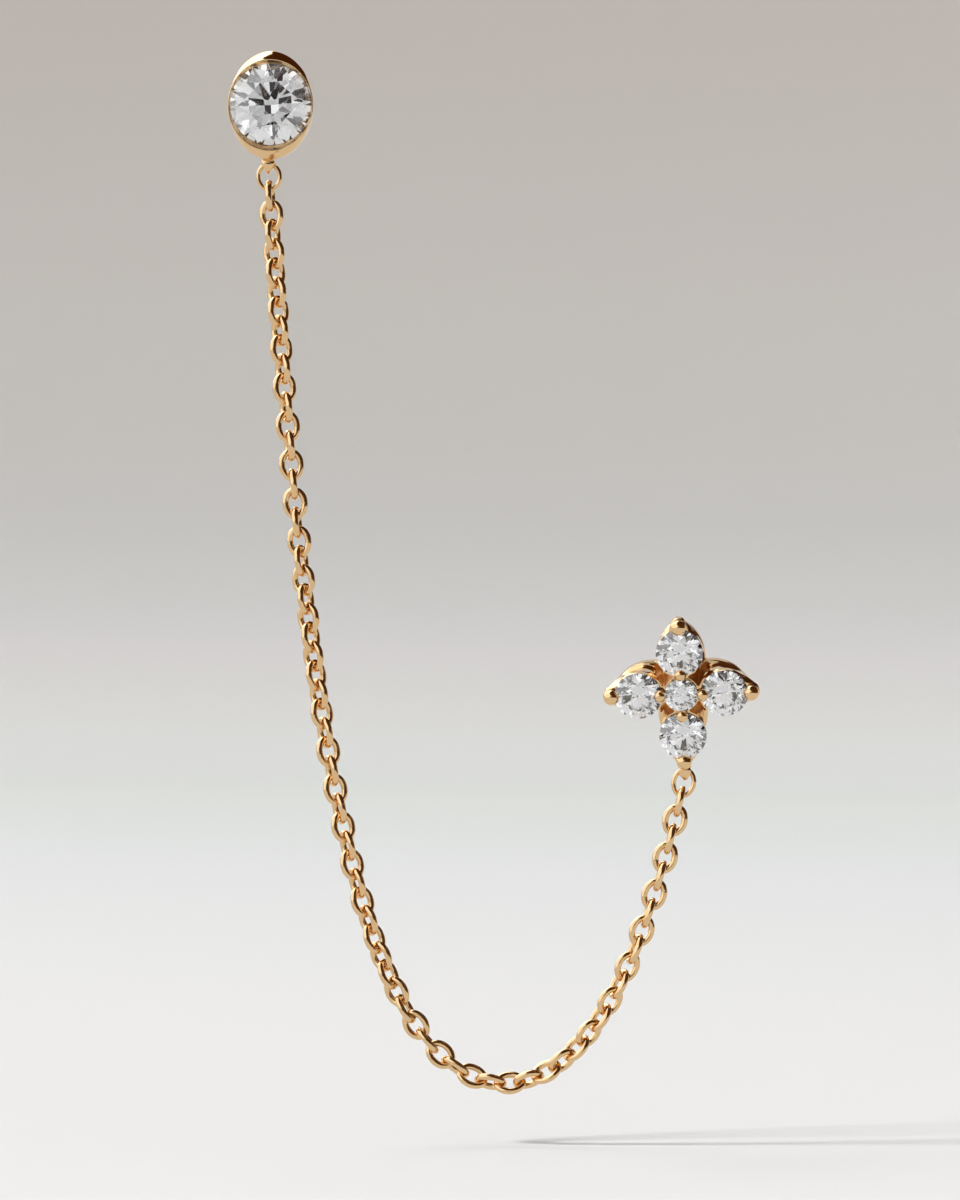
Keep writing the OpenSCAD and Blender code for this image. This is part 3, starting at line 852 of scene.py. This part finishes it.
def cut(mesh, tool):
    """The mesh less the tool, applied. Both have the same list of materials, so each face keeps its own."""
    body, helper = (bpy.data.objects.new("work", m) for m in (mesh, tool))
    for part in (body, helper):
        bpy.context.scene.collection.objects.link(part)
    difference = body.modifiers.new("cut", "BOOLEAN")
    difference.object = helper
    difference.operation = "DIFFERENCE"
    difference.solver = "EXACT"
    bpy.context.view_layer.update()
    out = bpy.data.meshes.new_from_object(body.evaluated_get(bpy.context.evaluated_depsgraph_get()))
    for part in (body, helper):
        bpy.data.objects.remove(part)
    return out


for mesh in (gallery, *cutters):
    for material in GALLERY_GOLDS:
        mesh.materials.append(material)
for tool in cutters:
    gallery = cut(gallery, tool)
gallery.polygons.foreach_set("use_smooth", [True] * len(gallery.polygons))
gallery.set_sharp_from_angle(angle=math.radians(28))
print("gallery:", len(gallery.polygons), "faces")

# %% [markdown]
# ## Prongs and beads
# Four prongs stand at the tips of the leaves, and four more between the middle stone and the petals. Each ends in a
# bead that was rolled over the edge of its stones with a cupped tool, so it is a smooth little dome. A bead shows the
# whole studio in a spot less than a millimetre wide, so its dome is turned in fine steps. The prong behind it is a
# round wire that runs back to the rail.

# %% A prong with its bead
TIP_BEAD_R, SHARED_BEAD_R = 0.385, 0.305
DOME_FLAT = 0.92                    # a bead is a little flatter than a ball
TIP_BEAD_AT = petal_at + PETAL_R + 0.16
SHARED_BEAD_AT = petal_at - PETAL_R + 0.10


def prong_mesh(x, y, bead_r, bead_z, shank_r, foot_z):
    """A dome of radius bead_r at bead_z, on a shank that goes back to foot_z."""
    dome = [(bead_r * math.cos(a), bead_z + DOME_FLAT * bead_r * math.sin(a)) for a in np.linspace(-0.85, 1.53, 22)]
    profile = [(0.02, foot_z), (shank_r, foot_z), (shank_r, bead_z - bead_r * 0.95)] + dome
    points, faces = turned(profile, 48)
    return mesh_of([(px + x, py + y, pz) for px, py, pz in points], faces, sharp_above=80)


PRONGS = [
    # Columns: distance from the flower's middle, bead radius, bead height, shank radius, height of its foot
    (TIP_BEAD_AT, TIP_BEAD_R, 0.12, 0.27, -0.9),
    (SHARED_BEAD_AT, SHARED_BEAD_R, 0.2, 0.2, -0.6),
]
prongs = [
    prong_mesh(at * math.cos(math.radians(90 * k)), at * math.sin(math.radians(90 * k)), *sizes)
    for k in range(4) for at, *sizes in PRONGS
]
print("prongs:", len(prongs))

# %% The flower's setting, with its eyelet and post soldered on
LOWER_EYELET_DROP = 0.22
LOWER_EYELET = (0, -(RAIL_TIP + LOWER_EYELET_DROP), 0.3 * BACK)
flower_post = post_mesh()
flower_post.transform(Matrix.Translation((0, 0, BACK)))
flower_metal = joined([gallery, *prongs, eyelet_mesh(LOWER_EYELET), flower_post])
finish_piece("flower_gallery", flower_metal, flower_place, ["cluster_setting"], GALLERY_GOLDS)

# %% [markdown]
# ## The camera
# The picture was taken with a long lens, level with the middle of the jewel, and the camera leaned by almost a degree.
# A long lens from 30 cm keeps both studs free of distortion. The jewel hangs a few millimetres above the floor, so the
# camera stands just above the floor too, and the floor reaches back to a low soft horizon.

# %% A long lens, level, with its small lean
CAMERA_AT = Vector((0.010866, -0.3021, -0.02461))
CAMERA_LEAN = -0.016
LENS_MM = 180
camera_data = bpy.data.cameras.new("camera")
camera_data.lens = LENS_MM
camera_data.sensor_width = 36
camera_data.clip_start = 0.01
camera_data.clip_end = 20
camera = bpy.data.objects.new("camera", camera_data)
lean = Matrix.Rotation(CAMERA_LEAN, 4, "Y") @ Matrix.Rotation(math.radians(90), 4, "X")
camera.matrix_world = Matrix.Translation(CAMERA_AT) @ lean
bpy.context.scene.collection.objects.link(camera)
bpy.context.scene.camera = camera
print("camera:", LENS_MM, "mm lens at", [round(1000 * c, 1) for c in CAMERA_AT], "mm")

# %% [markdown]
# ## Backdrop
# The background is one sheet of matt paper that lies flat and sweeps up without an edge, all the way round. Its colour
# carries painted light and shade: almost white near the jewel, a little lighter still at the foot of the sweep, and
# going to a warm grey further up. The sheet catches the jewel's shadow but is kept out of mirrors and stones, because
# the studio's lights, and not the paper, make the reflections there.

# %% A sweep of matt paper
FLOOR_Z = cad_low.z - 0.0026
FLOOR_R, SWEEP_R, WALL_TOP = 0.55, 0.55, 1.5
SHEET_SIDES = 128
bend = np.linspace(0.05, math.pi / 2, 28)
profile = [(0.0005, 0)] + [(r, 0) for r in np.linspace(0.05, FLOOR_R, 12)]
floor_rows = len(profile)
profile += [(FLOOR_R + SWEEP_R * math.sin(a), SWEEP_R * (1 - math.cos(a))) for a in bend]
profile += [(FLOOR_R + SWEEP_R, WALL_TOP)]
around = np.linspace(0, 2 * math.pi, SHEET_SIDES, endpoint=False)
rings = [[(r * math.cos(a), r * math.sin(a), FLOOR_Z + z) for a in around] for r, z in profile]
points, faces = skin(rings, capped=False)
faces.append(tuple(range(SHEET_SIDES))[::-1])
sheet_mesh = bpy.data.meshes.new("sweep")
sheet_mesh.from_pydata(points, [], faces)
sheet_mesh.polygons.foreach_set("use_smooth", [True] * len(sheet_mesh.polygons))

# The distance run along the paper from its middle, kept on every corner for the colour and its painted light and shade
run = [r for r, _ in profile[:floor_rows]] + [FLOOR_R + SWEEP_R * a for a in bend]
run += [run[-1] + WALL_TOP - SWEEP_R]
along = sheet_mesh.attributes.new("run", "FLOAT", "POINT")
along.data.foreach_set("value", [v for v in run for _ in range(SHEET_SIDES)])
RUN_END = 1.2                       # metres, beyond the last colour
# Columns: metres along the paper, colour with its painted light and shade
PAPER_PAINTED_SHADE = [
    (0.00, "#DFE0E1"),
    (0.24, "#E1E5E7"),
    (0.35, "#E2E7E9"),
    (0.52, "#E6ECEB"),
    (0.62, "#E5EAEB"),
    (0.66, "#E2E4E4"),
    (0.69, "#DEDFE1"),
    (0.72, "#D6D8D9"),
    (0.77, "#CDCECE"),
    (0.86, "#CAC9C6"),
    (0.96, "#C5C1BE"),
]
paper, tree = new_material("matt paper with painted shade")
where = add_node(tree, "ShaderNodeAttribute", attribute_name="run")
share = add_node(tree, "ShaderNodeMapRange", {"Value": where.outputs["Fac"], "From Max": RUN_END})
# This ramp paints light and shade into the paper: lighter near the jewel and at the sweep's foot, darker and warmer
# further up
painted_shade_ramp = add_node(tree, "ShaderNodeValToRGB", {"Fac": share.outputs["Result"]})
stops = painted_shade_ramp.color_ramp.elements
while len(stops) > 1:
    stops.remove(stops[-1])
stops[0].position = PAPER_PAINTED_SHADE[0][0] / RUN_END
stops[0].color = linear(PAPER_PAINTED_SHADE[0][1])
for metres, hex_colour in PAPER_PAINTED_SHADE[1:]:
    stops.new(metres / RUN_END).color = linear(hex_colour)
FIBRE_MM = 2.0                      # drawn coarser than real fibres, so that the tooth shows at all
fibre = add_node(tree, "ShaderNodeTexNoise", {
    "Vector": add_node(tree, "ShaderNodeTexCoord").outputs["Object"], "Scale": 1 / (FIBRE_MM * MM), "Detail": 3.0,
})
tooth = add_node(tree, "ShaderNodeBump", {"Height": fibre.outputs["Fac"], "Strength": 0.05, "Distance": 0.00005})
shader = add_node(tree, "ShaderNodeBsdfPrincipled", {
    "Base Color": painted_shade_ramp.outputs["Color"], "Roughness": 1.0, "Specular IOR Level": 0.0,
    "Normal": tooth.outputs["Normal"],
})
add_node(tree, "ShaderNodeOutputMaterial", {"Surface": shader.outputs["BSDF"]})
sheet_mesh.materials.append(paper)
sheet = bpy.data.objects.new("paper_sweep", sheet_mesh)
bpy.context.scene.collection.objects.link(sheet)
sheet.visible_glossy = False
sheet.visible_transmission = False
sheet.visible_shadow = False
print("paper: floor at", round(1000 * FLOOR_Z, 2), "mm,", len(PAPER_PAINTED_SHADE), "colours")

# %% [markdown]
# ## Light
# Gold and diamond show what is round them, so the studio itself is drawn on the sky: a light tent in soft grey-white,
# a large panel on the left with two hotter ones behind it, brown cards above and to the right, and the dark camera.
# The cards give the brown streaks that make polished gold read as metal, and the dark facets that make a diamond
# sparkle. One more lamp from the left gives the jewel its faint shadow on the paper.


# %% A light tent with panels and cards
def panel(tree, direction, to_side, half_angle, edge):
    """A soft round mask on the sky: 1 within half_angle degrees of a direction, fading over edge degrees."""
    toward = add_node(tree, "ShaderNodeVectorMath", {0: to_side, 1: tuple(unit(direction))}, operation="DOT_PRODUCT")
    return add_node(tree, "ShaderNodeMapRange", {
        "Value": toward.outputs["Value"],
        "From Min": math.cos(math.radians(half_angle + edge)), "From Max": math.cos(math.radians(half_angle)),
    }, interpolation_type="SMOOTHSTEP").outputs["Result"]


world = bpy.data.worlds.new("studio")
bpy.context.scene.world = world
world.use_nodes = True
tree = world.node_tree
tree.nodes.clear()
sky = add_node(tree, "ShaderNodeTexCoord").outputs["Generated"]
# Columns: direction, half angle, soft edge, colour, brightness
PANELS = [
    ((-0.80, -0.30, 0.50), 44, 9, "#FFFFFF", 1.3),     # the large panel on the left
    ((-0.36, 0.37, 0.86), 24, 5, "#FFFFFF", 3.0),      # the lit top on the left
    ((-0.50, 0.68, 0.50), 20, 4, "#FFFFFF", 2.2),      # and its lower part
    ((0.46, 0.77, 0.42), 13, 4, "#42260F", 1.0),       # brown card low behind, on the right
    ((0.60, 0.25, 0.76), 36, 4, "#42260F", 1.0),       # brown card behind, on the right
    ((-0.02, -0.06, 1.0), 15, 4, "#42260F", 1.0),      # small brown card straight above
    ((0.20, -0.56, 0.80), 28, 6, "#54381F", 1.0),      # brown card overhead
    ((0.60, -0.58, 0.50), 35, 6, "#4E331B", 1.0),      # brown card above and to the right
    ((0.74, -0.66, 0.12), 31, 6, "#4E331B", 1.0),      # brown card on the right
    ((0.95, -0.20, 0.20), 30, 6, "#4E331B", 1.0),      # and its second half
    ((0.03, -1.0, 0.08), 8, 3, "#302C2A", 1.0),        # the camera
]
IN_STONES = 0.15                    # how much of its colour the studio keeps inside a stone


def lit(hex_colour, brightness):
    """A linear colour times a brightness."""
    return tuple(c * brightness for c in linear(hex_colour)[:3]) + (1.0,)


colour = add_node(tree, "ShaderNodeRGB").outputs["Color"]
colour.default_value = lit("#FFFDFA", 0.62)
for direction, half_angle, edge, hex_colour, brightness in PANELS:
    colour = add_node(tree, "ShaderNodeMix", {
        "Factor": panel(tree, direction, sky, half_angle, edge), "A": colour, "B": lit(hex_colour, brightness),
    }, data_type="RGBA").outputs["Result"]
# Below the horizon lies the bright floor
level = add_node(tree, "ShaderNodeSeparateXYZ", {"Vector": sky}).outputs["Z"]
above = add_node(tree, "ShaderNodeMapRange", {
    "Value": level, "From Min": -0.07, "From Max": 0.0,
}, interpolation_type="SMOOTHSTEP").outputs["Result"]
colour = add_node(tree, "ShaderNodeMix", {
    "Factor": above, "A": lit("#FFFCF8", 0.74), "B": colour,
}, data_type="RGBA").outputs["Result"]
# Stones are kept clean of the cards' brown, as in the retouching of product pictures
path = add_node(tree, "ShaderNodeLightPath")
neutral = add_node(tree, "ShaderNodeHueSaturation", {
    "Saturation": IN_STONES, "Fac": path.outputs["Is Transmission Ray"], "Color": colour,
})
background = add_node(tree, "ShaderNodeBackground", {"Color": neutral.outputs["Color"], "Strength": 1.0})
add_node(tree, "ShaderNodeOutputWorld", {"Surface": background.outputs["Background"]})
print("panels and cards:", len(PANELS))

# %% One lamp from the left, for the shadow
LAMP_AT = Vector((-1.05, -0.42, 0.96))
LAMP_AIM = Vector((0.012, 0, -0.03))
LAMP_SIZE = 0.22
lamp_data = bpy.data.lights.new("soft_lamp", "AREA")
lamp_data.size = LAMP_SIZE
lamp_data.energy = 18
lamp_data.color = linear("#FFFEFC")[:3]
lamp = bpy.data.objects.new("soft_lamp", lamp_data)
lamp.location = LAMP_AT
lamp.rotation_mode = "QUATERNION"
lamp.rotation_quaternion = (LAMP_AIM - LAMP_AT).to_track_quat("-Z", "Y")
bpy.context.scene.collection.objects.link(lamp)
lamp.visible_glossy = False
lamp.visible_transmission = False
print("lamp:", lamp_data.energy, "W,", LAMP_SIZE, "m wide")

# %% [markdown]
# ## How the light is counted
# A ray inside a diamond is turned back many times before it leaves, so it gets many steps. The picture uses the plain
# sRGB curve, because the pale background and cream highlights should come out as they were metered.

# %% Light paths and colour
scene = bpy.context.scene
scene.cycles.max_bounces = 12
scene.cycles.transmission_bounces = 12
scene.cycles.glossy_bounces = 6
scene.cycles.diffuse_bounces = 2
scene.cycles.caustics_refractive = False
scene.cycles.caustics_reflective = False
scene.cycles.use_denoising = True
scene.view_settings.view_transform = "Standard"
scene.view_settings.look = "None"
